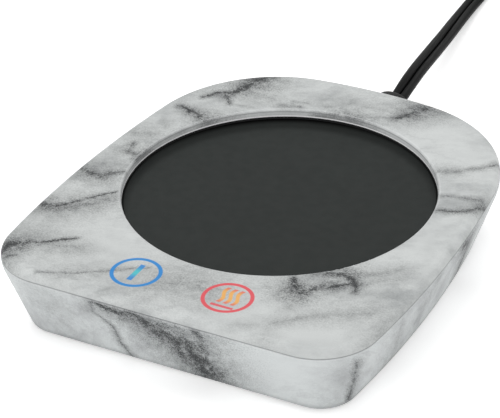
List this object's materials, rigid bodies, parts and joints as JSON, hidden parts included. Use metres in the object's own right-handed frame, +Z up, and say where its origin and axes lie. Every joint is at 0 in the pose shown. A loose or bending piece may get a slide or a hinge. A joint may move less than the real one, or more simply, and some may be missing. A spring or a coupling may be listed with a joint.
{
  "type": "electric mug warmer",
  "caption": "Low square-round mug warmer with a marble-look moulded case, a sunken round heating plate, touch controls at the front and a flat twin mains cord with a plug.",
  "frame": {"origin": "middle of the case's outline, on the surface that the feet stand on", "axes": "+Z up, -Y towards the touch controls, +Y towards the cord, +X to the user's right"},
  "size_m": [0.1273, 0.3258, 0.0256],
  "materials": {
    "marble_print": "satin moulding with a grey marble print",
    "plate_coating": "satin charcoal coating",
    "black_rubber": "matt",
    "black_cord": "smooth flexible jacket",
    "black_plastic": "fine texture",
    "zinc_steel": "zinc plated",
    "sheet_steel": "rolled sheet",
    "mica": "mica sheet with a printed heating track",
    "fibre_felt": "ceramic fibre felt",
    "bright_brass": "plated",
    "heat_plastic": "heat-proof moulding",
    "bright_aluminium": "rolled sheet",
    "board_green": "glass-fibre board, green lacquer",
    "touch_foam": "conductive foam",
    "led_lens": "clear",
    "terminal_green": "moulded",
    "fuse_body": "bare",
    "film_block": "moulded",
    "can_sleeve": "shrink sleeve",
    "chip_black": "moulded",
    "wire_jacket": "silicone",
    "plug_pins": "nickel plated"
  },
  "bodies": {
    "root": {"top_cover": "marble_print", "lower_case": "marble_print", "case_screws": "zinc_steel", "rubber_feet": "black_rubber", "heating_plate": "plate_coating", "plate_gasket": "black_rubber", "heating_element": "mica", "insulation_pad": "fibre_felt", "pressure_plate": "sheet_steel", "plate_studs": "zinc_steel", "plate_nuts": "zinc_steel", "temperature_sensor": "bright_aluminium", "thermal_fuse": "zinc_steel", "fuse_clip": "sheet_steel", "heater_lugs": "bright_brass", "retainer_ring": "heat_plastic", "retainer_screws": "zinc_steel", "heat_shield": "bright_aluminium", "control_board": "board_green", "board_screws": "zinc_steel", "touch_contacts": "touch_foam", "indicator_leds": "led_lens", "mains_terminal": "terminal_green", "heater_terminal": "terminal_green", "board_fuse": "fuse_body", "film_capacitor": "film_block", "electrolytic_capacitor": "can_sleeve", "triac": "chip_black", "touch_chip": "chip_black", "strain_relief": "black_plastic", "inner_cord": "black_cord", "cord_clamp": "black_plastic", "clamp_screws": "zinc_steel", "mains_wires": "wire_jacket", "heater_wires": "wire_jacket", "sensor_wires": "wire_jacket", "power_cord": "black_cord", "cord_coil": "black_cord", "plug_lead": "black_cord", "plug_body": "black_plastic", "plug_blades": "plug_pins"}
  },
  "joints": []
}
